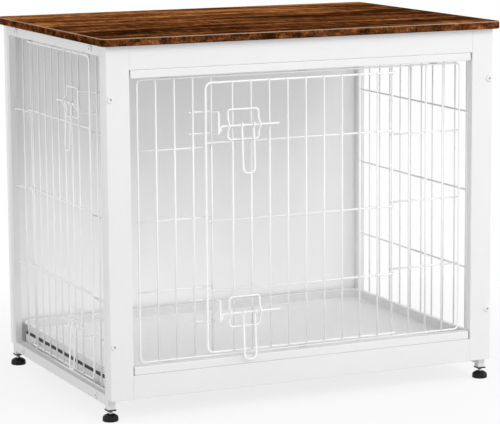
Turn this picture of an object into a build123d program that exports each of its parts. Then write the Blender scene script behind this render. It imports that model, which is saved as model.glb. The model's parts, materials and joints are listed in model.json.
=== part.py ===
from build123d import *
from math import radians, tan
import os

# Overall size in millimetres: X is the length, Y runs to the back, Z is up, origin on the floor.
TOP_LENGTH, TOP_DEPTH, TOP_THICK = 830.0, 600.0, 15.0
HEIGHT = 715.0
TOP_CORNER, TOP_EDGE = 14.0, 3.0
OVERHANG_SIDE, OVERHANG_FRONT = 12.0, 15.0

# Front boards and back panel
BOARD_WIDTH, BOARD_THICK, BOARD_EDGE = 45.0, 18.0, 1.0
BOARD_FOOT = 42.0
BATTEN_HEIGHT, BATTEN_RECESS, BATTEN_END_GAP = 16.0, 1.0, 2.5
BACK_THICK = 15.0
DOWEL_RADIUS, DOWEL_LENGTH, DOWEL_SPACING = 4.0, 30.0, 22.0

# Steel legs, rails and crossbars
TUBE, TUBE_WALL, TUBE_EDGE = 15.0, 1.2, 1.0
LEG_FOOT = 22.5
RAIL_HEIGHT, RAIL_FOOT = 20.0, 29.0
CROSSBAR_OFFSET = 208.0
PLUG_LENGTH = 14.0

# Levelling feet
FOOT_RADIUS, FOOT_SIDE, FOOT_HEIGHT, FOOT_NECK = 15.0, 9.0, 14.0, 6.5
FLUTES, FLUTE_RADIUS, FLUTE_DEPTH = 10, 3.0, 1.2
STUD_RADIUS, STUD_TOP, STUD_FIT = 4.0, 40.0, 0.05
FLANGE_SIDE, FLANGE_THICK, INSERT_DEPTH = 17.0, 2.5, 24.0

# Bolts and screws
BOLT_RADIUS, BOLT_FIT, BOLT_HEAD_RADIUS, BOLT_HEAD_HEIGHT = 3.0, 0.05, 6.5, 2.8
SOCKET_FLATS, SOCKET_DEPTH = 4.0, 1.8
NUT_RADIUS, NUT_LENGTH = 4.5, 9.0
POST_BOLT_HEIGHTS = (145.5, 603.0)
BACK_BOLT_HEIGHTS = (85.0, 371.0, 657.0)
BOLT_FROM_EDGE = 7.5
SCREW_RADIUS, SCREW_HEAD_RADIUS, SCREW_HEAD_HEIGHT, SCREW_BITE = 2.0, 4.0, 2.5, 11.0
SCREW_OFFSETS, SCREW_SHIFT = (-150.0, 0.0, 150.0), 2.0

# Tray, and the two runners with rubber strips that carry it
TRAY_LENGTH, TRAY_DEPTH, TRAY_HEIGHT, TRAY_BACK = 764.0, 504.0, 21.5, 4.0
TRAY_WALL, TRAY_LIP, TRAY_CORNER, TRAY_BASE_ROUND = 3.0, 6.0, 22.0, 5.0
RUNNER_WIDTH, RUNNER_HEIGHT, RUNNER_LENGTH = 20.0, 19.0, 500.0
RUNNER_OFFSET, STRIP_HEIGHT = 372.0, 5.0

# Wires: radius, and distance out from the middle of a panel's upright wires
PANEL_WIRE, DOOR_WIRE, DOOR_UPRIGHT, LATCH_WIRE, BOLT_WIRE = 1.75, 2.0, 1.6, 1.7, 2.0
WELD = 0.1
PANEL_CROSS_OUT = WELD - 2 * PANEL_WIRE
DOOR_OUT = 4.5
DOOR_UPRIGHT_OUT = DOOR_OUT + DOOR_WIRE + DOOR_UPRIGHT - WELD
BRACKET_OUT = DOOR_UPRIGHT_OUT + DOOR_UPRIGHT + LATCH_WIRE - WELD
KEEPER_OUT = WELD - PANEL_WIRE - LATCH_WIRE
BRACKET_BULGE, BOLT_OUT, KEEPER_BAR_OUT = 10.0, 15.6, 20.3
CURL_SWEEP = 290.0

# Front wire panel and its door, looking at the front from outside
FRONT_WALL_Y = -270.0
FRONT_RING_HALF, FRONT_RING_FOOT, FRONT_RING_TOP, RING_BEND = 338.0, 107.0, 634.5, 9.0
FRONT_PITCH, FRONT_SIDE_UPRIGHTS = 37.0, 4
FRONT_HINGE, FRONT_FREE = 190.0, -203.0
FRONT_DOOR_FOOT, FRONT_DOOR_TOP, DOOR_BEND = 113.5, 623.0, 12.0
FRONT_DOOR_CROSS = (231.0, 364.0, 511.0)
FRONT_DOOR_PITCH, FRONT_DOOR_UPRIGHTS, FRONT_DOOR_FIRST = 38.0, 9, 36.0
FRONT_BOLTS = {"upper": 542.0, "lower": 187.0}

# Side wire panels and the door in the left one
SIDE_WALL_X = 391.0
SIDE_CROSS = (217.0, 374.0, 531.0)
SIDE_HINGE, SIDE_FREE = 160.0, -180.0
SIDE_DOOR_FOOT, SIDE_DOOR_TOP = 62.0, 674.0
SIDE_DOOR_CROSS = (225.0, 382.0, 539.0)
SIDE_DOOR_PITCH, SIDE_DOOR_UPRIGHTS, SIDE_DOOR_FIRST = 37.0, 8, 32.0
SIDE_BOLTS = {"upper": 580.0, "lower": 157.0}
SIDE_REAR_UPRIGHT, SIDE_FRONT_UPRIGHT = 44.0, 25.0
HOOK_RUN, HOOK_STEP, HOOK_BEND = 14.0, 6.0, 4.0
RIGHT_PITCH, RIGHT_UPRIGHTS = 46.0, 10

# Latches, measured from a door's free edge towards its hinge and up from the bolt
KEEPER_START, KEEPER_TURN, KEEPER_BAR, KEEPER_UP, KEEPER_DOWN = -30.0, 17.0, 19.5, 27.0, 13.5
BOUNDING_UPRIGHT = 13.0
BRACKET_START, BRACKET_END, BRACKET_UP, BRACKET_DOWN, BRACKET_VEE = 42.0, 105.0, 30.0, 26.5, 11.0
BRACKET_CORNER, WIRE_BEND = 6.0, 3.0
BOLT_TIP, BOLT_END, BOLT_HOOK, BOLT_BEND = 25.0, 145.0, 10.5, 4.0
HANDLE_START, HANDLE_END, HANDLE_DROP, HANDLE_LEAN, HANDLE_BEND = 69.0, 93.0, 90.0, 5.0, 10.0
EYE_RADIUS = BOLT_WIRE + LATCH_WIRE + 0.3

# Clips behind the front panel's ring, on the back of the battens
CLIP_LENGTH, CLIP_THICK, CLIP_PLATE = 14.0, 3.0, 12.0
CLIP_PLACES = (-282.0, 0.0, 282.0)
CLIP_PRESS = 0.05

# Places worked out from the sizes above
FRAME_X = TOP_LENGTH / 2 - OVERHANG_SIDE
FRAME_Y = TOP_DEPTH / 2 - OVERHANG_FRONT
BOARD_TOP = HEIGHT - TOP_THICK
RAIL_TOP_FOOT = BOARD_TOP - RAIL_HEIGHT
POST_INNER = FRAME_X - BOARD_WIDTH
FRONT_LEG_Y = -FRAME_Y + BOARD_THICK + TUBE / 2
REAR_LEG_Y = FRAME_Y - BACK_THICK - TUBE / 2
LEG_X = FRAME_X - TUBE / 2
LEG_GAP_FRONT = FRONT_LEG_Y + TUBE / 2
LEG_GAP_REAR = REAR_LEG_Y - TUBE / 2
CROSSBAR_LOW = RAIL_FOOT + RAIL_HEIGHT / 2
CROSSBAR_HIGH = BOARD_TOP - RAIL_HEIGHT / 2
RUNNER_FOOT = CROSSBAR_LOW + TUBE / 2
STRIP_FOOT = RUNNER_FOOT + RUNNER_HEIGHT
TRAY_FOOT = STRIP_FOOT + STRIP_HEIGHT
CORNERS = {
    "front_left": (-LEG_X, FRONT_LEG_Y),
    "front_right": (LEG_X, FRONT_LEG_Y),
    "rear_left": (-LEG_X, REAR_LEG_Y),
    "rear_right": (LEG_X, REAR_LEG_Y),
}

FRONT_WALL = Location((0, FRONT_WALL_Y, 0))
LEFT_WALL = Location((-SIDE_WALL_X, 0, 0), (0, 0, -90))
RIGHT_WALL = Location((SIDE_WALL_X, 0, 0), (0, 0, 90))

nodes = {}


def block(low, high, edge=0.0):
    """A box between two corners, with its edges rounded."""
    size = [b - a for a, b in zip(low, high)]
    middle = [(a + b) / 2 for a, b in zip(low, high)]
    box = Pos(*middle) * Box(*size)
    return fillet(box.edges(), edge) if edge else box


def tube(low, high, run):
    """A square tube between two corners, open at both ends along its run axis."""
    outer = block(low, high)
    outer = fillet(outer.edges().filter_by(run), TUBE_EDGE)
    thin = [0.0 if axis == run else TUBE_WALL for axis in (Axis.X, Axis.Y, Axis.Z)]
    bore = block([a + t for a, t in zip(low, thin)], [b - t for b, t in zip(high, thin)])
    return outer - bore


def straight(start, end, radius):
    """A round wire from one point to another."""
    start, end = Vector(*start), Vector(*end)
    return Solid.make_cylinder(radius, (end - start).length, Plane(origin=start, z_dir=end - start))


def bent(points, radius, bend, closed=False):
    """A bent wire as separate solids: a cylinder for each run, a torus segment for each bend."""
    corners = [Vector(*point) for point in points]
    count = len(corners)
    setback = [0.0] * count
    solids = []
    for i in range(count) if closed else range(1, count - 1):
        arrive = (corners[i] - corners[i - 1]).normalized()
        leave = (corners[(i + 1) % count] - corners[i]).normalized()
        turn = arrive.get_angle(leave)
        setback[i] = bend * tan(radians(turn) / 2)
        start = corners[i] - arrive * setback[i]
        axis = arrive.cross(leave)
        middle = start + axis.cross(arrive).normalized() * bend
        section = Plane(origin=start, z_dir=arrive) * Circle(radius)
        solids.append(revolve(section, Axis(middle, axis), turn).solid())
    for i in range(count) if closed else range(count - 1):
        j = (i + 1) % count
        along = (corners[j] - corners[i]).normalized()
        solids.append(straight(corners[i] + along * setback[i], corners[j] - along * setback[j], radius))
    return solids


def swept(points, radius, bend):
    """A bent wire as one solid."""
    path = FilletPolyline(*points, radius=bend)
    section = Plane(origin=path @ 0, z_dir=path % 0) * Circle(radius)
    return sweep(section, path=path).solid()


def bolt(length):
    """A furniture bolt with a domed head and a hex socket, its head seated at Z 0 facing +Z."""
    dome = fillet(Cylinder(BOLT_HEAD_RADIUS, BOLT_HEAD_HEIGHT).edges().group_by(Axis.Z)[-1], 1.6)
    head = Pos(0, 0, BOLT_HEAD_HEIGHT / 2) * dome
    socket = Pos(0, 0, BOLT_HEAD_HEIGHT - SOCKET_DEPTH) * extrude(
        RegularPolygon(SOCKET_FLATS / 2, 6, major_radius=False), SOCKET_DEPTH
    )
    return head - socket + Pos(0, 0, -length / 2) * Cylinder(BOLT_RADIUS, length)


def rivet_nut():
    """A sleeve for a bolt, its front face at Z 0."""
    ring = Cylinder(NUT_RADIUS, NUT_LENGTH) - Cylinder(BOLT_RADIUS + BOLT_FIT, NUT_LENGTH)
    return Pos(0, 0, -NUT_LENGTH / 2) * ring


def drill(place, radius, length):
    """A drill bit that starts at a place and runs back along its -Z."""
    return place * Pos(0, 0, -length / 2) * Cylinder(radius, length)


# Places of the bolts: each looks out along its own +Z
FACING_FRONT, FACING_BACK, FACING_LEFT, FACING_RIGHT = (90, 0, 0), (-90, 0, 0), (0, -90, 0), (0, 90, 0)
post_bolt_places = [
    Location((side * (FRAME_X - BOLT_FROM_EDGE), -FRAME_Y, z), FACING_FRONT)
    for side in (-1, 1)
    for z in POST_BOLT_HEIGHTS
]
back_bolt_places = [
    Location((side * LEG_X, FRAME_Y, z), FACING_BACK) for side in (-1, 1) for z in BACK_BOLT_HEIGHTS
]
side_bolt_places = [
    Location((side * FRAME_X, y, z), FACING_LEFT if side < 0 else FACING_RIGHT)
    for side in (-1, 1)
    for y in (-CROSSBAR_OFFSET, CROSSBAR_OFFSET)
    for z in (CROSSBAR_LOW, CROSSBAR_HIGH)
]
BOARD_HOLE = BOLT_RADIUS + 0.2
LEG_BITE = NUT_LENGTH


def make_top():
    outline = RectangleRounded(TOP_LENGTH, TOP_DEPTH, TOP_CORNER)
    board = Pos(0, 0, BOARD_TOP) * extrude(outline, TOP_THICK)
    faces = board.faces().sort_by(Axis.Z)
    board = fillet(faces[0].edges() + faces[-1].edges(), TOP_EDGE)
    screws = []
    for x in (-LEG_X - SCREW_SHIFT, LEG_X + SCREW_SHIFT):
        for y in SCREW_OFFSETS:
            shank = RAIL_HEIGHT + SCREW_BITE
            board -= Pos(x, y, BOARD_TOP + SCREW_BITE / 2) * Cylinder(SCREW_RADIUS, SCREW_BITE)
            head = Pos(0, 0, -SCREW_HEAD_HEIGHT / 2) * Cylinder(SCREW_HEAD_RADIUS, SCREW_HEAD_HEIGHT)
            screw = head + Pos(0, 0, shank / 2) * Cylinder(SCREW_RADIUS, shank)
            screws.append(Pos(x, y, RAIL_TOP_FOOT) * screw)
    nodes["top_board"] = [board]
    nodes["top_board_screws"] = screws


def make_front_boards():
    front, rear = -FRAME_Y, -FRAME_Y + BOARD_THICK
    dowels = []
    dowel_holes = {}
    rails = {"front_apron": BOARD_TOP - BOARD_WIDTH, "front_bottom_rail": BOARD_FOOT}
    for name, foot in rails.items():
        for side in (-1, 1):
            for step in (-0.5, 0.5):
                z = foot + BOARD_WIDTH / 2 + step * DOWEL_SPACING
                place = Pos(side * POST_INNER, (front + rear) / 2, z)
                dowel = place * Rot(0, 90, 0) * Cylinder(DOWEL_RADIUS, DOWEL_LENGTH)
                dowels.append(dowel)
                dowel_holes.setdefault(name, []).append(dowel)
                dowel_holes.setdefault(side, []).append(dowel)
    for name, foot in rails.items():
        rail = block((-POST_INNER, front, foot), (POST_INNER, rear, foot + BOARD_WIDTH), BOARD_EDGE)
        nodes[name] = [rail - dowel_holes[name]]
    for name, side in {"front_left_post": -1, "front_right_post": 1}.items():
        low, high = sorted((side * POST_INNER, side * FRAME_X))
        post = block((low, front, BOARD_FOOT), (high, rear, BOARD_TOP), BOARD_EDGE)
        holes = [drill(place, BOARD_HOLE, BOARD_THICK) for place in post_bolt_places]
        nodes[name] = [post - dowel_holes[side] - holes]
    nodes["front_frame_dowels"] = dowels
    half = POST_INNER - BATTEN_END_GAP
    battens = {
        "front_top_batten": BOARD_TOP - BOARD_WIDTH - BATTEN_HEIGHT,
        "front_bottom_batten": BOARD_FOOT + BOARD_WIDTH,
    }
    for name, foot in battens.items():
        low = (-half, front + BATTEN_RECESS, foot)
        nodes[name] = [block(low, (half, rear + BATTEN_RECESS, foot + BATTEN_HEIGHT), 2 * BOARD_EDGE)]


def make_back():
    low = (-FRAME_X, FRAME_Y - BACK_THICK, BOARD_FOOT)
    panel = block(low, (FRAME_X, FRAME_Y, BOARD_TOP), BOARD_EDGE)
    nodes["back_panel"] = [panel - [drill(place, BOARD_HOLE, BACK_THICK) for place in back_bolt_places]]


def make_legs():
    nuts = []
    for places, board in ((post_bolt_places, BOARD_THICK), (back_bolt_places, BACK_THICK)):
        nuts += [place * Pos(0, 0, -board) * rivet_nut() for place in places]
    for corner, (x, y) in CORNERS.items():
        half = TUBE / 2
        leg = tube((x - half, y - half, LEG_FOOT), (x + half, y + half, BOARD_TOP), Axis.Z)
        for places, board in ((post_bolt_places, BOARD_THICK), (back_bolt_places, BACK_THICK)):
            leg -= [drill(place * Pos(0, 0, -board), NUT_RADIUS, LEG_BITE) for place in places]
        nodes[corner + "_leg"] = [leg]
    nodes["rivet_nuts"] = nuts
    nodes["front_post_bolts"] = [place * bolt(BOARD_THICK + LEG_BITE) for place in post_bolt_places]
    nodes["back_panel_bolts"] = [place * bolt(BACK_THICK + LEG_BITE) for place in back_bolt_places]


def make_rails():
    bolts = [drill(place, BOARD_HOLE, TUBE) for place in side_bolt_places]
    for side, sign in {"left": -1, "right": 1}.items():
        low, high = sorted((sign * FRAME_X, sign * (FRAME_X - TUBE)))
        for level, foot in {"bottom": RAIL_FOOT, "top": RAIL_TOP_FOOT}.items():
            ends = (low, LEG_GAP_FRONT, foot), (high, LEG_GAP_REAR, foot + RAIL_HEIGHT)
            rail = tube(*ends, Axis.Y) - bolts
            for y in SCREW_OFFSETS if level == "top" else ():
                middle = sign * (LEG_X + SCREW_SHIFT), y, foot + RAIL_HEIGHT / 2
                rail -= Pos(*middle) * Cylinder(SCREW_RADIUS, RAIL_HEIGHT)
            nodes[f"{side}_{level}_rail"] = [rail]
    inner = FRAME_X - TUBE
    plugs = []
    for level, z in {"lower": CROSSBAR_LOW, "upper": CROSSBAR_HIGH}.items():
        for end, y in {"front": -CROSSBAR_OFFSET, "rear": CROSSBAR_OFFSET}.items():
            half = TUBE / 2
            low, high = (-inner, y - half, z - half), (inner, y + half, z + half)
            nodes[f"{level}_{end}_crossbar"] = [tube(low, high, Axis.X)]
            for sign in (-1, 1):
                width = TUBE - 2 * TUBE_WALL
                plug = Pos(sign * (inner - PLUG_LENGTH / 2), y, z) * Box(PLUG_LENGTH, width, width)
                bore = Pos(sign * (inner - PLUG_LENGTH / 2), y, z) * Rot(0, 90, 0)
                plugs.append(plug - bore * Cylinder(BOLT_RADIUS + BOLT_FIT, PLUG_LENGTH))
    nodes["crossbar_plugs"] = plugs
    nodes["side_rail_bolts"] = [place * bolt(TUBE + PLUG_LENGTH) for place in side_bolt_places]


def levelling_foot():
    """A fluted foot with a cone up to its stud, standing on Z 0."""
    base = Pos(0, 0, FOOT_SIDE / 2) * Cylinder(FOOT_RADIUS, FOOT_SIDE)
    base = chamfer(base.edges().sort_by(Axis.Z)[0], 1.2)
    cone_height = FOOT_HEIGHT - FOOT_SIDE
    base += Pos(0, 0, FOOT_SIDE + cone_height / 2) * Cone(FOOT_RADIUS - 1.0, FOOT_NECK, cone_height)
    flute = Cylinder(FLUTE_RADIUS, 4 * FOOT_HEIGHT)
    base -= [place * flute for place in PolarLocations(FOOT_RADIUS + FLUTE_RADIUS - FLUTE_DEPTH, FLUTES)]
    return base + Pos(0, 0, STUD_TOP / 2) * Cylinder(STUD_RADIUS, STUD_TOP)


def make_feet():
    inserts = []
    for corner, (x, y) in CORNERS.items():
        width = TUBE - 2 * TUBE_WALL
        flange = Pos(0, 0, LEG_FOOT - FLANGE_THICK / 2) * Box(FLANGE_SIDE, FLANGE_SIDE, FLANGE_THICK)
        plug = Pos(0, 0, LEG_FOOT + INSERT_DEPTH / 2) * Box(width, width, INSERT_DEPTH)
        bore = Pos(0, 0, LEG_FOOT) * Cylinder(STUD_RADIUS + STUD_FIT, 3 * INSERT_DEPTH)
        inserts.append(Pos(x, y, 0) * (flange + plug - bore))
        nodes[corner + "_foot"] = [Pos(x, y, 0) * levelling_foot()]
    nodes["leg_inserts"] = inserts


def make_tray():
    outer = extrude(RectangleRounded(TRAY_LENGTH, TRAY_DEPTH, TRAY_CORNER), TRAY_HEIGHT)
    outer = fillet(outer.faces().sort_by(Axis.Z)[0].edges(), TRAY_BASE_ROUND)
    lip_size = TRAY_LENGTH + 2 * TRAY_LIP, TRAY_DEPTH + 2 * TRAY_LIP, TRAY_CORNER + TRAY_LIP
    lip = Pos(0, 0, TRAY_HEIGHT - TRAY_WALL) * extrude(RectangleRounded(*lip_size), TRAY_WALL)
    inner_size = TRAY_LENGTH - 2 * TRAY_WALL, TRAY_DEPTH - 2 * TRAY_WALL, TRAY_CORNER - TRAY_WALL
    inner = Pos(0, 0, TRAY_WALL) * extrude(RectangleRounded(*inner_size), TRAY_HEIGHT)
    inner = fillet(inner.faces().sort_by(Axis.Z)[0].edges(), TRAY_BASE_ROUND - TRAY_WALL)
    nodes["tray"] = [Pos(0, TRAY_BACK, TRAY_FOOT) * (outer + lip - inner)]
    half = RUNNER_LENGTH / 2
    for side, x in {"left": -RUNNER_OFFSET, "right": RUNNER_OFFSET}.items():
        near, far = x - RUNNER_WIDTH / 2, x + RUNNER_WIDTH / 2
        nodes[side + "_tray_runner"] = [block((near, -half, RUNNER_FOOT), (far, half, STRIP_FOOT), BOARD_EDGE)]
        nodes[side + "_tray_strip"] = [block((near, -half, STRIP_FOOT), (far, half, TRAY_FOOT), BOARD_EDGE)]


def make_front_panel():
    ring = [
        (-FRONT_RING_HALF, 0, FRONT_RING_FOOT),
        (FRONT_RING_HALF, 0, FRONT_RING_FOOT),
        (FRONT_RING_HALF, 0, FRONT_RING_TOP),
        (-FRONT_RING_HALF, 0, FRONT_RING_TOP),
    ]
    wires = bent(ring, PANEL_WIRE, RING_BEND, closed=True)
    foot, top = FRONT_RING_FOOT + PANEL_WIRE - WELD, FRONT_RING_TOP - PANEL_WIRE + WELD
    inner = FRONT_RING_HALF - FRONT_SIDE_UPRIGHTS * FRONT_PITCH
    quarter = (FRONT_RING_TOP - FRONT_RING_FOOT) / 4
    for side in (-1, 1):
        for i in range(FRONT_SIDE_UPRIGHTS):
            u = side * (inner + i * FRONT_PITCH)
            wires.append(straight((u, 0, foot), (u, 0, top), PANEL_WIRE))
        for i in (1, 2, 3):
            z = FRONT_RING_FOOT + i * quarter
            near, far = side * (inner - PANEL_WIRE), side * (FRONT_RING_HALF + PANEL_WIRE)
            wires.append(straight((near, -PANEL_CROSS_OUT, z), (far, -PANEL_CROSS_OUT, z), PANEL_WIRE))
    nodes["front_panel"] = [FRONT_WALL * wire for wire in wires]


def side_wires(uprights, crosses):
    """The wires of a side panel: runs on the rails, uprights, and cross wires hooked into the legs."""
    foot, top = RAIL_FOOT + RAIL_HEIGHT + PANEL_WIRE, RAIL_TOP_FOOT - PANEL_WIRE
    wires = [straight((crosses[0], 0, z), (crosses[-1], 0, z), PANEL_WIRE) for z in (foot, top)]
    for u in uprights:
        wires.append(straight((u, 0, foot + PANEL_WIRE - WELD), (u, 0, top - PANEL_WIRE + WELD), PANEL_WIRE))
    return wires


def hooked(start, end, z):
    """A cross wire whose end at a leg steps out into the leg's face."""
    run = HOOK_RUN if start > end else -HOOK_RUN
    inside, outside = -PANEL_CROSS_OUT, -PANEL_CROSS_OUT - HOOK_STEP
    points = [(start, inside, z), (end + run, inside, z), (end + run / 2, outside, z), (end, outside, z)]
    return bent(points, PANEL_WIRE, HOOK_BEND)


def make_left_panel():
    rear_leg, front_leg = -LEG_GAP_REAR, -LEG_GAP_FRONT
    hinge, bounding = -SIDE_HINGE, -(SIDE_FREE + BOUNDING_UPRIGHT)
    front_upright = -SIDE_FREE + SIDE_FRONT_UPRIGHT
    uprights = [hinge - SIDE_REAR_UPRIGHT, hinge, bounding, front_upright]
    wires = side_wires(uprights, (rear_leg, front_leg))
    for z in SIDE_CROSS:
        wires += hooked(hinge + PANEL_WIRE, rear_leg, z)
        wires += hooked(bounding - PANEL_WIRE, front_leg, z)
    nodes["left_panel"] = [LEFT_WALL * wire for wire in wires]


def make_right_panel():
    front_leg, rear_leg = LEG_GAP_FRONT, LEG_GAP_REAR
    uprights = [(i - (RIGHT_UPRIGHTS - 1) / 2) * RIGHT_PITCH for i in range(RIGHT_UPRIGHTS)]
    wires = side_wires(uprights, (front_leg, rear_leg))
    middle = 0.0
    for z in SIDE_CROSS:
        wires += hooked(middle, rear_leg, z)
        wires += hooked(middle, front_leg, z)
    nodes["right_panel"] = [RIGHT_WALL * wire for wire in wires]


def door_wires(hand, hinge, free, foot, top, crosses, uprights):
    """A wire door with its hinge wire at hand times hinge, its cross wires curled round that wire."""
    u_hinge, u_free = hand * hinge, hand * free
    frame = [
        (u_hinge, -DOOR_OUT, foot),
        (u_free, -DOOR_OUT, foot),
        (u_free, -DOOR_OUT, top),
        (u_hinge, -DOOR_OUT, top),
    ]
    wires = bent(frame, DOOR_WIRE, DOOR_BEND)
    for z in crosses:
        start = u_free + hand * (DOOR_WIRE - WELD)
        wires.append(straight((start, -DOOR_OUT, z), (u_hinge, -DOOR_OUT, z), DOOR_WIRE))
    for z in (foot, *crosses, top):
        section = Plane(origin=(u_hinge, -DOOR_OUT, z), z_dir=(hand, 0, 0)) * Circle(DOOR_WIRE)
        wires.append(revolve(section, Axis((u_hinge, 0, z), (0, 0, hand)), CURL_SWEEP).solid())
    for u in uprights:
        low, high = foot - DOOR_WIRE / 2, top + DOOR_WIRE / 2
        start, end = (hand * u, -DOOR_UPRIGHT_OUT, low), (hand * u, -DOOR_UPRIGHT_OUT, high)
        wires.append(straight(start, end, DOOR_UPRIGHT))
    return wires


def latch(prefix, wall, hand, free, z):
    """One latch: the keeper on the panel, the bracket on the door, the bolt and its pull handle."""

    def at(s, out, up):
        return (hand * (free + s), -out, z + up)

    keeper = [at(KEEPER_START, KEEPER_OUT, KEEPER_UP), at(KEEPER_TURN, KEEPER_OUT, KEEPER_UP)]
    keeper += [at(KEEPER_BAR, KEEPER_BAR_OUT, KEEPER_UP), at(KEEPER_BAR, KEEPER_BAR_OUT, -KEEPER_DOWN)]
    keeper += [at(KEEPER_TURN, KEEPER_OUT, -KEEPER_DOWN), at(KEEPER_START, KEEPER_OUT, -KEEPER_DOWN)]
    nodes[prefix + "_keeper"] = [wall * swept(keeper, LATCH_WIRE, WIRE_BEND)]

    halves = []
    middle = (BRACKET_START + BRACKET_END) / 2
    apex = BRACKET_OUT + BRACKET_BULGE
    for side in (BRACKET_START, BRACKET_END):
        half = [at(middle, BRACKET_OUT, BRACKET_UP), at(side, BRACKET_OUT, BRACKET_UP)]
        half += [at(side, BRACKET_OUT, BRACKET_VEE), at(side, apex, 0), at(side, BRACKET_OUT, -BRACKET_VEE)]
        half += [at(side, BRACKET_OUT, -BRACKET_DOWN), at(middle, BRACKET_OUT, -BRACKET_DOWN)]
        bends = [BRACKET_CORNER, WIRE_BEND, WIRE_BEND, WIRE_BEND, BRACKET_CORNER]
        halves.append(wall * swept(half, LATCH_WIRE, bends))
    nodes[prefix + "_bracket"] = halves

    rod = [at(BOLT_TIP, BOLT_OUT, -BOLT_HOOK), at(BOLT_TIP, BOLT_OUT, 0), at(BOLT_END, BOLT_OUT, 0)]
    nodes[prefix + "_bolt"] = [wall * swept(rod, BOLT_WIRE, BOLT_BEND)]

    lowest = BOLT_OUT + HANDLE_LEAN, -HANDLE_DROP
    loop = [at(HANDLE_START, BOLT_OUT, -EYE_RADIUS), at(HANDLE_START, *lowest)]
    loop += [at(HANDLE_END, *lowest), at(HANDLE_END, BOLT_OUT, -EYE_RADIUS)]
    handle = swept(loop, LATCH_WIRE, HANDLE_BEND)
    for s in (HANDLE_START, HANDLE_END):
        handle += Solid.make_torus(EYE_RADIUS, LATCH_WIRE, Plane(origin=at(s, BOLT_OUT, 0), z_dir=(1, 0, 0)))
    nodes[prefix + "_handle"] = [wall * handle]


def make_doors():
    uprights = [FRONT_HINGE - FRONT_DOOR_FIRST - i * FRONT_DOOR_PITCH for i in range(FRONT_DOOR_UPRIGHTS)]
    size = FRONT_HINGE, FRONT_FREE, FRONT_DOOR_FOOT, FRONT_DOOR_TOP
    wires = door_wires(1, *size, FRONT_DOOR_CROSS, uprights)
    nodes["front_door"] = [FRONT_WALL * wire for wire in wires]
    uprights = [SIDE_HINGE - SIDE_DOOR_FIRST - i * SIDE_DOOR_PITCH for i in range(SIDE_DOOR_UPRIGHTS)]
    size = SIDE_HINGE, SIDE_FREE, SIDE_DOOR_FOOT, SIDE_DOOR_TOP
    wires = door_wires(-1, *size, SIDE_DOOR_CROSS, uprights)
    nodes["side_door"] = [LEFT_WALL * wire for wire in wires]
    for level in ("upper", "lower"):
        latch("front_" + level, FRONT_WALL, 1, FRONT_FREE, FRONT_BOLTS[level])
        latch("side_" + level, LEFT_WALL, -1, SIDE_FREE, SIDE_BOLTS[level])


def make_clips():
    clips = []
    back = -FRAME_Y + BOARD_THICK + BATTEN_RECESS
    touch = FRONT_WALL_Y + PANEL_WIRE - CLIP_PRESS
    foot, top = FRONT_RING_FOOT + PANEL_WIRE, FRONT_RING_TOP - PANEL_WIRE
    batten_top = BOARD_FOOT + BOARD_WIDTH + BATTEN_HEIGHT
    batten_foot = BOARD_TOP - BOARD_WIDTH - BATTEN_HEIGHT
    for x in CLIP_PLACES:
        low, high = x - CLIP_LENGTH / 2, x + CLIP_LENGTH / 2
        for ring_edge, batten_edge, plate_end in (
            (top, batten_foot, batten_foot + CLIP_PLATE),
            (foot, batten_top, batten_top - CLIP_PLATE),
        ):
            lip = sorted((ring_edge, batten_edge))
            plate = sorted((ring_edge, plate_end))
            clip = block((low, touch, lip[0]), (high, back + CLIP_THICK, lip[1]))
            clips.append(clip + block((low, back, plate[0]), (high, back + CLIP_THICK, plate[1])))
    nodes["panel_clips"] = clips


for make in (
    make_top, make_front_boards, make_back, make_legs, make_rails, make_feet,
    make_tray, make_front_panel, make_left_panel, make_right_panel, make_doors, make_clips,
):
    make()

os.makedirs("parts", exist_ok=True)
for name, shapes in nodes.items():
    solids = [solid for shape in shapes for solid in shape.solids()]
    export_step(solids[0] if len(solids) == 1 else Compound(solids), f"parts/{name}.step")
print(len(nodes), "nodes")
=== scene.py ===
"""Looks of a wire dog crate that is built as an end table."""

import json
import math

import bmesh
import bpy
from mathutils import Matrix, Vector


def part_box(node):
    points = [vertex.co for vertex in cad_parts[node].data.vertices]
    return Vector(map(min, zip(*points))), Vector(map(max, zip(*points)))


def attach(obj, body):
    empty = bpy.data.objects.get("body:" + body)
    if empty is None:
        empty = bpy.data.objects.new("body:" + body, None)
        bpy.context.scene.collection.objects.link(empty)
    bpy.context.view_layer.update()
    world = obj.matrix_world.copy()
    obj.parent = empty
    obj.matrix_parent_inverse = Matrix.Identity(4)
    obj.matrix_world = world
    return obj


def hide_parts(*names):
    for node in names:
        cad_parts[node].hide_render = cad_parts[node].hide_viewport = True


MM = 0.001

# Camera fitted to the photograph, in pixels, millimetres and degrees; far clip in metres
IMAGE_WIDTH = 500
FOCAL_PIXELS = 2317.6
SENSOR_WIDTH = 36.0
CAMERA_TARGET = (11.7, 0.0, 325.7)
CAMERA_DISTANCE = 4660.4
CAMERA_AZIMUTH, CAMERA_ELEVATION, CAMERA_ROLL = -24.619, 9.291, -0.395
CAMERA_CLIP = 200.0

# Wires, in millimetres: radius, and distance in or out from the middle of a panel's uprights
PANEL_WIRE, DOOR_WIRE, DOOR_UPRIGHT = 1.75, 2.0, 1.6
WELD = 0.1
PANEL_CROSS_IN = 2 * PANEL_WIRE - WELD
DOOR_OUT = 4.5
DOOR_UPRIGHT_OUT = DOOR_OUT + DOOR_WIRE + DOOR_UPRIGHT - WELD
RING_BEND, DOOR_BEND, CURL_SWEEP = 9.0, 12.0, 290.0
HOOK_RUN, HOOK_STEP, HOOK_BEND = 14.0, 6.0, 4.0
WIRE_SIDES, BEND_STEPS, CURL_STEPS = 16, 8, 24

# Weld beads: half their width and thickness, as shares of the wire's radius
BEAD_WIDTH, BEAD_THICKNESS = 1.35, 0.6

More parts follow.
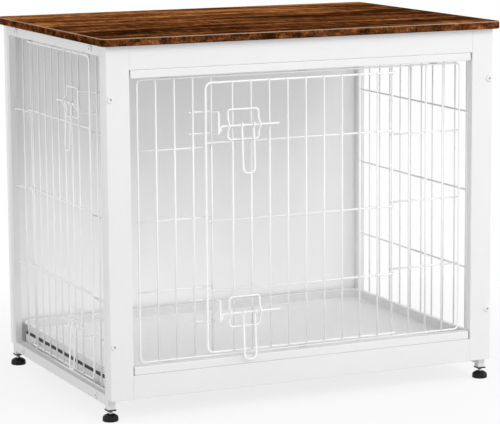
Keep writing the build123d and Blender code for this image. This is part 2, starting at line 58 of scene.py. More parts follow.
# Spacing of the wires
FRONT_PITCH, FRONT_SIDE_UPRIGHTS = 37.0, 4
FRONT_DOOR_PITCH, FRONT_DOOR_UPRIGHTS, FRONT_DOOR_FIRST = 38.0, 9, 36.0
FRONT_DOOR_CROSS = (231.0, 364.0, 511.0)
SIDE_CROSS = (217.0, 374.0, 531.0)
SIDE_DOOR_PITCH, SIDE_DOOR_UPRIGHTS, SIDE_DOOR_FIRST = 37.0, 8, 32.0
SIDE_DOOR_CROSS = (225.0, 382.0, 539.0)
SIDE_REAR_UPRIGHT, SIDE_FRONT_UPRIGHT, BOUNDING_UPRIGHT = 44.0, 25.0, 13.0
RIGHT_PITCH, RIGHT_UPRIGHTS = 46.0, 10

# Top board: rounding of its corners and edges, and the normal's Z from which a face is flat
TOP_CORNER, TOP_EDGE = 14.0, 3.0
CORNER_STEPS, EDGE_STEPS = 10, 6
FLAT_NORMAL = 0.999

# Levelling feet: profile of the base as radius, height and share of the fluting; stud and thread
FOOT_PROFILE = (
    (13.4, 0.0, 0.4), (14.4, 0.3, 0.8), (15.0, 1.2, 1.0), (15.0, 4.0, 1.0),
    (14.7, 7.0, 1.0), (14.3, 8.8, 0.8), (13.6, 9.8, 0.4), (12.0, 11.2, 0.0),
    (9.8, 12.5, 0.0), (7.6, 13.5, 0.0), (6.5, 14.0, 0.0), (4.0, 14.0, 0.0),
)
FOOT_SIDES, FOOT_FLUTES, FLUTE_DEPTH, FLUTE_POWER = 120, 10, 1.2, 3
STUD_FOOT, STUD_RADIUS, STUD_SIDES = 13.7, 4.0, 24
THREAD_PITCH, THREAD_DEPTH, THREAD_STEPS = 1.25, 0.45, 4

# Hex sockets in the bolt heads, with a lining of bare steel that darkens them as painted shade
HEAD_RADIUS, SOCKET_RADIUS, SOCKET_SIDES = 6.5, 2.28, 6
SOCKET_DEPTH, SOCKET_WALL, SOCKET_SUNK = 1.77, 0.2, 0.05
SOCKET_PROFILE = (
    (SOCKET_RADIUS - SOCKET_WALL, SOCKET_DEPTH - SOCKET_WALL),
    (SOCKET_RADIUS - SOCKET_WALL, SOCKET_SUNK),
    (SOCKET_RADIUS, SOCKET_SUNK),
    (SOCKET_RADIUS, SOCKET_DEPTH),
)
# Bolts: axis that the heads face along, their ways along it, and number of bolts in height
BOLTS = {
    "front_post_bolts": (1, (-1,), 2),
    "back_panel_bolts": (1, (1,), 3),
    "side_rail_bolts": (0, (-1, 1), 2),
}

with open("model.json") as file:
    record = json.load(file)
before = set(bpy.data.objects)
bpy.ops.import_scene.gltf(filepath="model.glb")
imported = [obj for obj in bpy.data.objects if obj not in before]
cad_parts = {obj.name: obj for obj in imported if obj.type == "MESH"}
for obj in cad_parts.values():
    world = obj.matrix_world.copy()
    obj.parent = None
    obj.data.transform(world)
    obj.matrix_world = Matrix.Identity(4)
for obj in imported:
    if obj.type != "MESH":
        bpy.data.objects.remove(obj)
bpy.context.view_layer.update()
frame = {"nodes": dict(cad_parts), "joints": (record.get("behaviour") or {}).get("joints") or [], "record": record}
joints = {joint["name"]: joint for joint in frame["joints"]}


# Materials


def grey(level):
    """A grey as red, green and blue."""
    return (level, level, level)


# Coats: colour, share of it in the darker clouds, roughness, and the skin's cycles a metre and
# depth in millimetres. Below, what some of them have besides.
COATS = {
    "white_board": (grey(0.82), 0.98, 0.42, 320.0, 0.12),
    # The back panel's white is paler than the boards' so the shaded inside reads lighter: painted light
    "white_panel": (grey(0.95), 0.985, 0.5, 420.0, 0.08),
    "white_tube": (grey(0.80), 0.975, 0.38, 700.0, 0.06),
    "white_wire": (grey(0.95), 0.985, 0.34, 900.0, 0.04),
    "clip_plastic": (grey(0.84), 0.97, 0.45, 1500.0, 0.03),
    "black_plastic": ((0.012, 0.012, 0.013), 0.7, 0.4, 1300.0, 0.06),
    "black_rubber": (grey(0.050), 0.7, 0.6, 900.0, 0.06),
    "white_bolt": (grey(0.84), 0.95, 0.35, 1500.0, 0.02),
    "zinc_steel": ((0.50, 0.50, 0.52), 0.8, 0.35, 1500.0, 0.02),
    "dowel_wood": ((0.58, 0.41, 0.23), 0.8, 0.7, 300.0, 0.1),
}
COAT_EXTRAS = {
    "black_plastic": {"specular": 0.15},
    "black_rubber": {"specular": 0.3},
    "zinc_steel": {"metallic": 1.0},
    "dowel_wood": {"stretch": (0.1, 1, 1)},
}
CLOUD_LOW, CLOUD_HIGH = 0.35, 0.65
SKIN_DETAIL, SKIN_ROUGHNESS, SKIN_STRENGTH = 3.0, 0.55, 0.6
GLOSS_LOW, GLOSS_HIGH, GLOSS_CHANGE = 0.3, 0.7, 0.06

# Noises: cycles a metre, detail and roughness, and for some a factor on the cycles along X, Y and Z
CLOUDS, GLOSS = (7.0, 4.0, 0.6), (45.0, 4.0, 0.5)
SCUFFS, PEBBLES = (30.0, 5.0, 0.65, (1.0, 1.0, 0.4)), (700.0, 2.0, 0.5)
SWAY = (1.7, 3.0, 0.5, (1.0, 2.2, 1.0))
BLOTCHES, SPECKS = (36.0, 4.0, 0.62, (1.0, 1.0, 1.6)), (210.0, 3.0, 0.6)
# Layers of the wood grain, each with how far it moves the tone
GRAIN = {
    "bands": (10.0, 3.0, 0.6, (0.14, 1.0, 1.0), 0.44),
    "stripes": (22.0, 4.0, 0.6, (0.20, 1.0, 1.0), 0.40),
    "streaks": (40.0, 5.0, 0.65, (0.07, 1.0, 1.0), 0.42),
    "fibres": (260.0, 4.0, 0.6, (0.03, 1.0, 1.0), 0.34),
    "saw_marks": (170.0, 3.0, 0.6, (1.0, 0.08, 0.3), 0.05),
    "flecks": (56.0, 8.0, 0.78, (0.9, 0.40, 1.0), 0.52),
}
NOISE_LOW, NOISE_HIGH = 0.25, 0.75

# Wood: tone of the board from front to back, and colours from the darkest tone to the palest
PLANK_TONES = [
    (0.0, grey(0.26)),
    (0.2, grey(0.32)),
    (0.4, grey(0.38)),
    (0.6, grey(0.52)),
    (0.8, grey(0.65)),
    (1.0, grey(0.78)),
]
WOOD_TONES = [
    (0.0, (0.025, 0.008, 0.002)),
    (0.2, (0.062, 0.020, 0.006)),
    (0.4, (0.118, 0.038, 0.011)),
    (0.6, (0.210, 0.067, 0.020)),
    (0.8, (0.350, 0.122, 0.036)),
    (1.0, (0.560, 0.220, 0.065)),
]
# Colour of a painted highlight on the rounding of the upper edge
EDGE_HIGHLIGHT_COLOUR = (0.56, 0.38, 0.26, 1.0)
# Grey tones of the underside, a sheet painted as the shade under the board
UNDERSIDE_SHADE_TONES = [(0.3, grey(0.28)), (0.7, grey(0.34))]
# Shares of fibres and streaks in the relief, its depth in millimetres and its strength
FIBRE_RELIEF, STREAK_RELIEF, WOOD_RELIEF, WOOD_STRENGTH = 0.6, 0.4, 0.3, 0.5

# Tray: tones of its walls, painted darker than the floor as shade, and of its floor, and depth of its pebbles in
# millimetres
TRAY_WALL_SHADE = [(0.3, grey(0.72)), (0.7, grey(0.78))]
TRAY_FLOOR = [(0.3, grey(0.94)), (0.7, grey(0.97))]
PEBBLE_DEPTH = 0.08

# Ranges: low and high of a noise, a place in metres or a normal's Z, and what they become
SWAY_REACH = (0.2, 0.8, -0.045, 0.045)
BOARD_DEPTH = (-0.3, 0.3, 0.0, 1.0)
BLOTCH_TONES = (0.28, 0.72, -0.14, 0.80)
SPECK_TONES = (NOISE_LOW, NOISE_HIGH, -0.34, 0.34)
# The second range picks out the underside, which is painted grey as shade
LEVEL, UNDERSIDE_SHADE_RANGE = (0.3, 0.9, 0.0, 1.0), (-0.95, -0.99, 0.0, 1.0)
# Where the painted highlight lies on the rounding, by the normal's Z, and its patches
HIGHLIGHT_RISING, HIGHLIGHT_FALLING = (0.25, 0.55, 0.0, 1.0), (0.86, 0.99, 1.0, 0.0)
HIGHLIGHT_PATCHES = (0.2, 0.6, 0.45, 0.8)
WOOD_GLOSS, TRAY_GLOSS = (0.3, 0.7, 0.66, 0.5), (0.3, 0.7, 0.44, 0.56)


def add(tree, kind, inputs=None, **settings):
    """A node with its settings and inputs; an input is a value or the socket of another node."""
    node = tree.nodes.new(kind)
    for key, value in settings.items():
        setattr(node, key, value)
    for key, value in (inputs or {}).items():
        if isinstance(value, bpy.types.NodeSocket):
            tree.links.new(value, node.inputs[key])
        else:
            node.inputs[key].default_value = value
    return node


def ramp(tree, factor, stops):
    """A colour ramp with stops of (place, (r, g, b))."""
    node = add(tree, "ShaderNodeValToRGB", {"Fac": factor})
    elements = node.color_ramp.elements
    while len(elements) < len(stops):
        elements.new(0.5)
    for element, (place, colour) in zip(elements, stops):
        element.position = place
        element.color = (*colour, 1.0)
    return node.outputs["Color"]


def spread(tree, value, low, high, to_low, to_high):
    """A value moved from one range to another, and held within it."""
    inputs = {
        "Value": value, "From Min": low, "From Max": high, "To Min": to_low, "To Max": to_high,
    }
    return add(tree, "ShaderNodeMapRange", inputs).outputs["Result"]


def noise(tree, place, scale, detail, roughness, stretch=(1, 1, 1)):
    """Noise over a place in metres: cycles a metre, with a factor on them along each axis."""
    mapped = add(tree, "ShaderNodeMapping", {"Vector": place, "Scale": stretch}).outputs["Vector"]
    inputs = {"Vector": mapped, "Scale": scale, "Detail": detail, "Roughness": roughness}
    return add(tree, "ShaderNodeTexNoise", inputs).outputs["Fac"]


def calc(tree, operation, a, b, clamp=False):
    """A sum, product or other operation on two values."""
    node = add(tree, "ShaderNodeMath", {0: a, 1: b}, operation=operation, use_clamp=clamp)
    return node.outputs["Value"]


def blend(tree, factor, a, b, kind="RGBA"):
    """Colour or value a, turned into b by a factor."""
    inputs = {"Factor": factor, "A": a, "B": b}
    return add(tree, "ShaderNodeMix", inputs, data_type=kind).outputs["Result"]


def bump(tree, height, depth, strength):
    """A normal for relief of a depth in millimetres."""
    inputs = {"Height": height, "Distance": depth * MM, "Strength": strength}
    return add(tree, "ShaderNodeBump", inputs).outputs["Normal"]


def facing_up(tree):
    """How far a face looks up: the Z of its normal."""
    normal = add(tree, "ShaderNodeNewGeometry").outputs["Normal"]
    return add(tree, "ShaderNodeSeparateXYZ", {0: normal}).outputs["Z"]


def start(name):
    """A new material: its node tree, its shader and its object coordinates."""
    material = bpy.data.materials.new(name)
    material.use_nodes = True
    tree = material.node_tree
    place = add(tree, "ShaderNodeTexCoord").outputs["Object"]
    return material, tree, tree.nodes["Principled BSDF"], place


def coated(
    name, colour, shade, roughness, skin_scale, skin_depth,
    metallic=0.0, stretch=(1, 1, 1), specular=0.5,
):
    """Paint, powder coat or moulded plastic: faint clouding, a fine skin and uneven gloss."""
    material, tree, shader, place = start(name)
    darker = tuple(channel * shade for channel in colour)
    stops = [(CLOUD_LOW, darker), (CLOUD_HIGH, colour)]
    tint = ramp(tree, noise(tree, place, *CLOUDS), stops)
    relief = noise(tree, place, skin_scale, SKIN_DETAIL, SKIN_ROUGHNESS, stretch)
    low, high = roughness - GLOSS_CHANGE, roughness + GLOSS_CHANGE
    gloss = spread(tree, noise(tree, place, *GLOSS), GLOSS_LOW, GLOSS_HIGH, low, high)
    tree.links.new(tint, shader.inputs["Base Color"])
    tree.links.new(gloss, shader.inputs["Roughness"])
    tree.links.new(bump(tree, relief, skin_depth, SKIN_STRENGTH), shader.inputs["Normal"])
    shader.inputs["Metallic"].default_value = metallic
    shader.inputs["Specular IOR Level"].default_value = specular
    return material


def rustic_wood():
    """Printed wood grain along X: blotched edges, a painted highlight in patches on the upper edge's rounding, and
    an underside painted grey as shade.
    """
    material, tree, shader, place = start("rustic_wood")

    # The upper face: a tone from front to back, moved by the layers of the grain
    sway = spread(tree, noise(tree, place, *SWAY), *SWAY_REACH)
    drift = add(tree, "ShaderNodeCombineXYZ", {"Y": sway}).outputs[0]
    grain = add(tree, "ShaderNodeVectorMath", {0: place, 1: drift}).outputs["Vector"]
    depth = add(tree, "ShaderNodeSeparateXYZ", {0: grain}).outputs["Y"]
    tone = ramp(tree, spread(tree, depth, *BOARD_DEPTH), PLANK_TONES)
    layers = {}
    for name, (*shape, reach) in GRAIN.items():
        layers[name] = noise(tree, place if name == "saw_marks" else grain, *shape)
        move = spread(tree, layers[name], NOISE_LOW, NOISE_HIGH, -reach, reach)
        tone = calc(tree, "ADD", tone, move)

    # The edges: blotches with fine specks
    specks = noise(tree, place, *SPECKS)
    blotches = spread(tree, noise(tree, place, *BLOTCHES), *BLOTCH_TONES)
    edge = calc(tree, "ADD", blotches, spread(tree, specks, *SPECK_TONES))
    up = facing_up(tree)
    level = spread(tree, calc(tree, "ABSOLUTE", up, 0.0), *LEVEL)
    finish = ramp(tree, blend(tree, level, edge, tone, "FLOAT"), WOOD_TONES)

    # The painted highlight in patches on the rounding between edge and upper face, and the grey sheet on the
    # underside as painted shade
    rising, falling = spread(tree, up, *HIGHLIGHT_RISING), spread(tree, up, *HIGHLIGHT_FALLING)
    rounding = calc(tree, "MULTIPLY", rising, falling)
    edge_highlight = calc(tree, "MULTIPLY", rounding, spread(tree, specks, *HIGHLIGHT_PATCHES))
    finish = blend(tree, edge_highlight, finish, EDGE_HIGHLIGHT_COLOUR)
    shaded_underside = spread(tree, up, *UNDERSIDE_SHADE_RANGE)
    finish = blend(tree, shaded_underside, finish, ramp(tree, specks, UNDERSIDE_SHADE_TONES))

    gloss = spread(tree, layers["streaks"], *WOOD_GLOSS)
    fibres = calc(tree, "MULTIPLY", layers["fibres"], FIBRE_RELIEF)
    relief = calc(tree, "ADD", fibres, calc(tree, "MULTIPLY", layers["streaks"], STREAK_RELIEF))
    tree.links.new(finish, shader.inputs["Base Color"])
    tree.links.new(gloss, shader.inputs["Roughness"])
    tree.links.new(bump(tree, relief, WOOD_RELIEF, WOOD_STRENGTH), shader.inputs["Normal"])
    shader.inputs["Specular IOR Level"].default_value = 0.0
    return material


def tray_plastic():
    """Moulded plastic with a pebbled skin and scuffs: a pale floor, and walls painted to a greyer white as shade.
    """
    material, tree, shader, place = start("tray_plastic")
    scuffs = noise(tree, place, *SCUFFS)
    # The walls get darker tones than the floor: painted shade
    flat = spread(tree, facing_up(tree), *LEVEL)
    tint = blend(tree, flat, ramp(tree, scuffs, TRAY_WALL_SHADE), ramp(tree, scuffs, TRAY_FLOOR))
    relief = bump(tree, noise(tree, place, *PEBBLES), PEBBLE_DEPTH, SKIN_STRENGTH)
    tree.links.new(tint, shader.inputs["Base Color"])
    tree.links.new(spread(tree, scuffs, *TRAY_GLOSS), shader.inputs["Roughness"])
    tree.links.new(relief, shader.inputs["Normal"])
    return material


materials = {"rustic_wood": rustic_wood(), "tray_plastic": tray_plastic()}
for name, values in COATS.items():
    materials[name] = coated(name, *values, **COAT_EXTRAS.get(name, {}))
slots = {part["node"]: part["material_slot"] for part in frame["record"]["subparts"]}
for name, node in frame["nodes"].items():
    node.data.materials.clear()
    node.data.materials.append(materials[slots[name]])


# Pieces


def piece(name, mesh, slot, body, *nodes):
    """A finished mesh as a piece that rides on a body and stands for the CAD nodes named."""
    data = bpy.data.meshes.new(name)
    bmesh.ops.recalc_face_normals(mesh, faces=mesh.faces)
    mesh.to_mesh(data)
    mesh.free()
    data.materials.append(materials[slot])
    data.shade_smooth()
    obj = bpy.data.objects.new(name, data)
    bpy.context.scene.collection.objects.link(obj)
    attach(obj, body)
    if nodes:
        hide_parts(*nodes)
    return obj


def circle(count):
    """Cosine and sine at even steps round a circle."""
    angles = [2 * math.pi * k / count for k in range(count)]
    return [(math.cos(angle), math.sin(angle)) for angle in angles]


def bend_corners(points, bend, closed):
    """The points of a wire's middle line, with an arc in place of each corner."""
    count = len(points)
    path = []
    for i, corner in enumerate(points):
        if not closed and i in (0, count - 1):
            path.append(corner)
            continue
        arrive = (corner - points[i - 1]).normalized()
        leave = (points[(i + 1) % count] - corner).normalized()
        turn = arrive.angle(leave)
        first = corner - arrive * bend * math.tan(turn / 2)
        axis = arrive.cross(leave).normalized()
        middle = first + axis.cross(arrive) * bend
        for step in range(BEND_STEPS + 1):
            turned = Matrix.Rotation(turn * step / BEND_STEPS, 3, axis)
            path.append(middle + turned @ (first - middle))
    return path


def skin(mesh, rings, closed=False):
    """Faces between rings of vertices, either round to the first ring or with both ends capped."""
    count = len(rings[0])
    for a, b in zip(rings, rings[1:] + rings[:1] if closed else rings[1:]):
        for k in range(count):
            j = (k + 1) % count
            mesh.faces.new((a[k], a[j], b[j], b[k]))
    if not closed:
        mesh.faces.new(rings[0])
        mesh.faces.new(rings[-1])


def tube(mesh, wall, path, radius, closed=False):
    """A round wire along a path of points in millimetres on a wall."""
    points = [wall @ (Vector(point) * MM) for point in path]
    count = len(points)
    rings = []
    side = None
    for i, point in enumerate(points):
        before = points[i - 1] if closed or i else point
        after = points[(i + 1) % count] if closed or i < count - 1 else point
        along = (after - before).normalized()
        side = along.orthogonal() if side is None else side - along * side.dot(along)
        side.normalize()
        across = along.cross(side)
        ring = []
        for cosine, sine in circle(WIRE_SIDES):
            out = side * cosine + across * sine
            ring.append(mesh.verts.new(point + out * radius * MM))
        rings.append(ring)
    skin(mesh, rings, closed)


def bead(mesh, wall, place, radius):
    """The flattened bead of a spot weld between two crossing wires."""
    wide, thick = BEAD_WIDTH * radius * MM, BEAD_THICKNESS * radius * MM
    flat = Matrix.Diagonal((wide, thick, wide, 1.0))
    matrix = wall @ Matrix.Translation(Vector(place) * MM) @ flat
    bmesh.ops.create_icosphere(mesh, subdivisions=2, radius=1.0, matrix=matrix)


def wall_at(x, y, turn):
    """The frame of a wall, turned by degrees: along it, into the crate, and up."""
    return Matrix.Translation((x, y, 0)) @ Matrix.Rotation(math.radians(turn), 4, "Z")


def panel_bead(mesh, wall, u, z):
    """The weld of a panel's upright to a cross wire behind it."""
    bead(mesh, wall, (u, PANEL_WIRE - WELD / 2, z), PANEL_WIRE)


def front_panel():
    """The front panel: a ring, and uprights with short cross wires on both sides of the doorway."""
    low, high = (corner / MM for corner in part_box("front_panel"))
    half, foot, top = high.x - PANEL_WIRE, low.z + PANEL_WIRE, high.z - PANEL_WIRE
    wall = wall_at(0, (low.y + PANEL_WIRE) * MM, 0)
    mesh = bmesh.new()
    corners = ((-half, 0, foot), (half, 0, foot), (half, 0, top), (-half, 0, top))
    ring = [Vector(corner) for corner in corners]
    tube(mesh, wall, bend_corners(ring, RING_BEND, True), PANEL_WIRE, True)
    inner = half - FRONT_SIDE_UPRIGHTS * FRONT_PITCH
    for side in (-1, 1):
        uprights = [side * (inner + i * FRONT_PITCH) for i in range(FRONT_SIDE_UPRIGHTS)]
        for u in uprights:
            tube(mesh, wall, ((u, 0, foot), (u, 0, top)), PANEL_WIRE)
        for quarter in (1, 2, 3):
            z = foot + quarter * (top - foot) / 4
            ends = (side * (inner - PANEL_WIRE), side * (half + PANEL_WIRE))
            tube(mesh, wall, [(u, PANEL_CROSS_IN, z) for u in ends], PANEL_WIRE)
            for u in (*uprights, side * half):
                panel_bead(mesh, wall, u, z)
    piece("front_panel_wires", mesh, "white_wire", "crate", "front_panel")


def hooked(mesh, wall, begin, end, z):
    """A cross wire whose end at a leg steps out into the leg's face."""
    run = math.copysign(HOOK_RUN, begin - end)
    inside, outside = PANEL_CROSS_IN, PANEL_CROSS_IN - HOOK_STEP
    points = ((begin, inside), (end + run, inside), (end + run / 2, outside), (end, outside))
    path = [Vector((*point, z)) for point in points]
    tube(mesh, wall, bend_corners(path, HOOK_BEND, False), PANEL_WIRE)


def side_panel(name, wall, ends, uprights, crosses):
    """A side panel: runs on the rails, uprights, and cross wires from a wire to a leg."""
    low, high = (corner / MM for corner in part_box(name))
    foot, top = low.z + PANEL_WIRE, high.z - PANEL_WIRE
    mesh = bmesh.new()
    for z in (foot, top):
        tube(mesh, wall, [(u, 0, z) for u in ends], PANEL_WIRE)
    for u in uprights:
        tube(mesh, wall, ((u, 0, foot), (u, 0, top)), PANEL_WIRE)
    for z in SIDE_CROSS:
        for begin, end in crosses:
            hooked(mesh, wall, begin, end, z)
        for u in uprights:
            panel_bead(mesh, wall, u, z)
    piece(name + "_wires", mesh, "white_wire", "crate", name)


def left_panel(door_free):
    """The left panel, with uprights on both sides of its door; one of them is the hinge wire."""
    hinge = joints["side_door_hinge"]["pos_m"]
    wall = wall_at(hinge[0], 0, -90)
    low, high = (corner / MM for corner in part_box("left_panel"))
    rear, front = -high.y, -low.y
    turning = -hinge[1] / MM
    bounding = door_free - BOUNDING_UPRIGHT
    uprights = [turning - SIDE_REAR_UPRIGHT, turning, bounding, door_free + SIDE_FRONT_UPRIGHT]
    crosses = [(turning + PANEL_WIRE, rear), (bounding - PANEL_WIRE, front)]
    side_panel("left_panel", wall, (rear, front), uprights, crosses)


def right_panel():
    """The right panel, with even uprights and no door."""
    low, high = (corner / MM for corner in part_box("right_panel"))
    wall = wall_at(-joints["side_door_hinge"]["pos_m"][0], 0, 90)
    uprights = [(i - (RIGHT_UPRIGHTS - 1) / 2) * RIGHT_PITCH for i in range(RIGHT_UPRIGHTS)]
    side_panel("right_panel", wall, (low.y, high.y), uprights, [(0.0, low.y), (0.0, high.y)])


def door(name, wall, hand, hinge, free, crosses, uprights):
    """A wire door: frame, cross wires curled round the hinge wire, and uprights before them."""
    low, high = (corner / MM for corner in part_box(name))
    foot, top = low.z + DOOR_WIRE, high.z - DOOR_WIRE
    curl = []
    for step in range(CURL_STEPS + 1):
        angle = math.radians(CURL_SWEEP) * step / CURL_STEPS
        curl.append((hinge + hand * DOOR_OUT * math.sin(angle), -DOOR_OUT * math.cos(angle)))
    mesh = bmesh.new()
    corners = ((hinge, foot), (free, foot), (free, top), (hinge, top))
    path = bend_corners([Vector((u, -DOOR_OUT, z)) for u, z in corners], DOOR_BEND, False)
    lower, upper = ([Vector((*place, z)) for place in curl[1:]] for z in (foot, top))
    tube(mesh, wall, lower[::-1] + path + upper, DOOR_WIRE)
    for z in crosses:
        tube(mesh, wall, [(free, -DOOR_OUT, z)] + [(*place, z) for place in curl], DOOR_WIRE)
    for u in uprights:
        ends = (foot - DOOR_WIRE / 2, top + DOOR_WIRE / 2)
        tube(mesh, wall, [(u, -DOOR_UPRIGHT_OUT, z) for z in ends], DOOR_UPRIGHT)
        for z in (foot, *crosses, top):
            bead(mesh, wall, (u, -DOOR_OUT - DOOR_WIRE + WELD / 2, z), DOOR_UPRIGHT)
    piece(name + "_wires", mesh, "white_wire", name, name)


def front_door():
    """The front door, hung on its right edge."""
    hinge_x, hinge_y, _ = joints["front_door_hinge"]["pos_m"]
    hinge, free = hinge_x / MM, (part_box("front_door")[0] / MM).x + DOOR_WIRE
    first = hinge - FRONT_DOOR_FIRST
    uprights = [first - i * FRONT_DOOR_PITCH for i in range(FRONT_DOOR_UPRIGHTS)]
    door("front_door", wall_at(0, hinge_y, 0), 1, hinge, free, FRONT_DOOR_CROSS, uprights)


def side_door(free):
    """The door in the left side, hung on its rear edge."""
    hinge_x, hinge_y, _ = joints["side_door_hinge"]["pos_m"]
    hinge = -hinge_y / MM
    first = hinge + SIDE_DOOR_FIRST
    uprights = [first + i * SIDE_DOOR_PITCH for i in range(SIDE_DOOR_UPRIGHTS)]
    door("side_door", wall_at(hinge_x, 0, -90), -1, hinge, free, SIDE_DOOR_CROSS, uprights)


def top_board():
    """The top board, with rounded plan corners and rounded edges."""
    low, high = (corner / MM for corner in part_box("top_board"))
    mesh = bmesh.new()
    levels = []
    for step in range(EDGE_STEPS + 1):
        angle = math.pi / 2 * step / EDGE_STEPS
        inset, rise = TOP_EDGE * (1 - math.sin(angle)), TOP_EDGE * (1 - math.cos(angle))
        levels.append((inset, low.z + rise))
    levels += [(inset, low.z + high.z - z) for inset, z in reversed(levels)]
    rings = []
    for inset, z in levels:
        ring = []
        for turn, (sx, sy) in enumerate(((1, 1), (-1, 1), (-1, -1), (1, -1))):
            middle = Vector((sx * (high.x - TOP_CORNER), sy * (high.y - TOP_CORNER), z))
            for step in range(CORNER_STEPS + 1):
                angle = math.pi / 2 * (turn + step / CORNER_STEPS)
                out = Vector((math.cos(angle), math.sin(angle), 0)) * (TOP_CORNER - inset)
                ring.append(mesh.verts.new((middle + out) * MM))
        rings.append(ring)
    skin(mesh, rings)
    board = piece("top_slab", mesh, "rustic_wood", "crate", "top_board")
    for face in board.data.polygons:
        face.use_smooth = abs(face.normal.z) < FLAT_NORMAL


def foot(corner):
    """A levelling foot: a fluted black base with a domed top, and its threaded stud."""
    name = corner + "_foot"
    x, y, _ = (value / MM for value in joints[name + "_screw"]["pos_m"])
    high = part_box(name)[1].z / MM
    base = bmesh.new()
    rings = []
    for radius, z, fluted in FOOT_PROFILE:
        ring = []
        for k in range(FOOT_SIDES):
            angle = 2 * math.pi * k / FOOT_SIDES
            groove = 0.5 + 0.5 * math.cos(FOOT_FLUTES * angle)
            reach = radius - fluted * FLUTE_DEPTH * groove**FLUTE_POWER
            place = Vector((x + reach * math.cos(angle), y + reach * math.sin(angle), z))
            ring.append(base.verts.new(place * MM))
        rings.append(ring)
    skin(base, rings)
    piece(name + "_base", base, "black_plastic", name, name)
    stud = bmesh.new()
    rings = []
    steps = int((high - STUD_FOOT) / THREAD_PITCH * THREAD_STEPS)
    for step in range(steps + 1):
        in_groove = step % THREAD_STEPS < THREAD_STEPS / 2
        radius = STUD_RADIUS - (THREAD_DEPTH if in_groove else 0.0)
        z = STUD_FOOT + step * (high - STUD_FOOT) / steps
        places = [Vector((x + radius * c, y + radius * s, z)) for c, s in circle(STUD_SIDES)]
        rings.append([stud.verts.new(place * MM) for place in places])
    skin(stud, rings)
    piece(name + "_stud", stud, "zinc_steel", name)


def shaded_socket_linings(node, axis, faces, rows):
    """Bare steel linings of the hex sockets in a node's bolt heads, which face along an axis; they darken the
    sockets as painted shade.
    """
    low, high = (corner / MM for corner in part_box(node))
    across, upright = Vector((0, 1, 0) if axis == 0 else (1, 0, 0)), Vector((0, 0, 1))
    corner_way, flat_way = (upright, across) if axis == 0 else (across, upright)
    mesh = bmesh.new()
    for face in faces:
        out = Vector((face, 0, 0) if axis == 0 else (0, face, 0))
        depth = (high if face > 0 else low)[axis] * face
        for side in (-1, 1):
            reach = side * (high[1 - axis] - HEAD_RADIUS)
            for row in range(rows):
                rise = (high.z - low.z - 2 * HEAD_RADIUS) * row / (rows - 1)
                z = low.z + HEAD_RADIUS + rise
                middle = out * depth + across * reach + upright * z
                rings = []
                for radius, sunk in SOCKET_PROFILE:
                    ring = []
                    for cosine, sine in circle(SOCKET_SIDES):
                        way = corner_way * cosine + flat_way * sine
                        ring.append(mesh.verts.new((middle - out * sunk + way * radius) * MM))
                    rings.append(ring)
                skin(mesh, rings)
    lining = piece(node + "_socket_shade_linings", mesh, "zinc_steel", "crate")
    lining.data.shade_flat()


for corner in ("front_left", "front_right", "rear_left", "rear_right"):
    foot(corner)
for node, (axis, faces, rows) in BOLTS.items():
    shaded_socket_linings(node, axis, faces, rows)
side_free = -((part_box("side_door")[0] / MM).y + DOOR_WIRE)
front_panel()
left_panel(side_free)
right_panel()
front_door()
side_door(side_free)
top_board()


# Floor, light and camera

# Floor, in metres: its share of plain white from near the crate to further out
FLOOR_RADIUS, FLOOR_SIDES = 40.0, 64
FLOOR_NEAR, FLOOR_FAR = 0.4, 1.1
WHITE_NEAR, WHITE_FAR = 0.80, 1.0
WHITE, FLOOR_COLOUR = (1.0, 1.0, 1.0, 1.0), (0.88, 0.88, 0.88, 1.0)

# Light from all round, and soft boxes by place, size and power, in metres and watts
WORLD_STRENGTH = 0.48
LAMPS = {
    "key": ((1.2, -4.0, 3.2), 2.6, 98.0),
    "left": ((-4.2, -1.2, 1.3), 2.6, 49.0),
    "right": ((4.2, -1.6, 1.3), 2.4, 54.0),
}
LAMP_AIM = (0.0, 0.0, 0.35)


def sight(tree):
    """1 for a ray of the camera, a reflection or a look through glass, and 0 for light."""
    seen = add(tree, "ShaderNodeLightPath").outputs
    straight = calc(tree, "ADD", seen["Is Camera Ray"], seen["Is Glossy Ray"], True)
    return calc(tree, "ADD", straight, seen["Is Transmission Ray"], True)


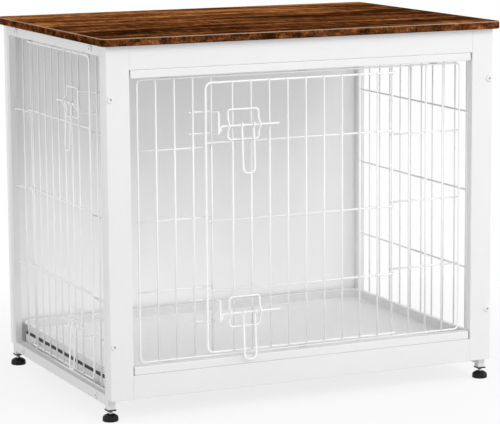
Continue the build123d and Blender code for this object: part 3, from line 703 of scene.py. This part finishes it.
def floor():
    """A pale floor that reads as white and still takes the crate's soft shadow."""
    mesh = bmesh.new()
    bmesh.ops.create_circle(mesh, cap_ends=True, segments=FLOOR_SIDES, radius=FLOOR_RADIUS)
    data = bpy.data.meshes.new("floor")
    mesh.to_mesh(data)
    mesh.free()
    obj = bpy.data.objects.new("floor", data)
    bpy.context.scene.collection.objects.link(obj)
    material, tree, shader, place = start("floor")
    tree.nodes.remove(shader)
    matte = add(tree, "ShaderNodeBsdfDiffuse", {"Color": FLOOR_COLOUR}).outputs[0]
    glow = add(tree, "ShaderNodeEmission", {"Color": WHITE, "Strength": 1.0}).outputs[0]
    reach = add(tree, "ShaderNodeVectorMath", {0: place}, operation="LENGTH").outputs["Value"]
    white = spread(tree, reach, FLOOR_NEAR, FLOOR_FAR, WHITE_NEAR, WHITE_FAR)
    share = calc(tree, "MULTIPLY", sight(tree), white)
    mix = add(tree, "ShaderNodeMixShader", {0: share, 1: matte, 2: glow})
    tree.links.new(mix.outputs[0], tree.nodes["Material Output"].inputs["Surface"])
    data.materials.append(material)


def world_light():
    """Even light from all round, shown as plain white behind the crate."""
    world = bpy.data.worlds.new("studio")
    bpy.context.scene.world = world
    world.use_nodes = True
    tree = world.node_tree
    background = tree.nodes["Background"]
    power = spread(tree, sight(tree), 0.0, 1.0, WORLD_STRENGTH, 1.0)
    tree.links.new(power, background.inputs["Strength"])
    background.inputs["Color"].default_value = WHITE


def lamp(name, place, size, power):
    """A square soft box that faces the crate."""
    data = bpy.data.lights.new(name, "AREA")
    data.size = size
    data.energy = power
    obj = bpy.data.objects.new(name, data)
    obj.location = place
    obj.rotation_euler = (Vector(LAMP_AIM) - Vector(place)).to_track_quat("-Z", "Y").to_euler()
    bpy.context.scene.collection.objects.link(obj)


def camera():
    """The camera at the photograph's angle, turned a little about its own line of sight."""
    azimuth, elevation = math.radians(CAMERA_AZIMUTH), math.radians(CAMERA_ELEVATION)
    level = math.cos(elevation)
    back = Vector((math.sin(azimuth) * level, -math.cos(azimuth) * level, math.sin(elevation)))
    turn = Matrix.Rotation(math.radians(CAMERA_ROLL), 3, back)
    right = turn @ Vector((0, 0, 1)).cross(back).normalized()
    data = bpy.data.cameras.new("camera")
    data.sensor_fit = "HORIZONTAL"
    data.sensor_width = SENSOR_WIDTH
    data.lens = FOCAL_PIXELS * SENSOR_WIDTH / IMAGE_WIDTH
    data.clip_end = CAMERA_CLIP
    obj = bpy.data.objects.new("camera", data)
    place = (Vector(CAMERA_TARGET) + back * CAMERA_DISTANCE) * MM
    axes = Matrix((right, back.cross(right), back)).transposed().to_4x4()
    obj.matrix_world = Matrix.Translation(place) @ axes
    bpy.context.scene.collection.objects.link(obj)
    bpy.context.scene.camera = obj


floor()
world_light()
for name, values in LAMPS.items():
    lamp(name, *values)
camera()
bpy.context.scene.view_settings.view_transform = "Standard"
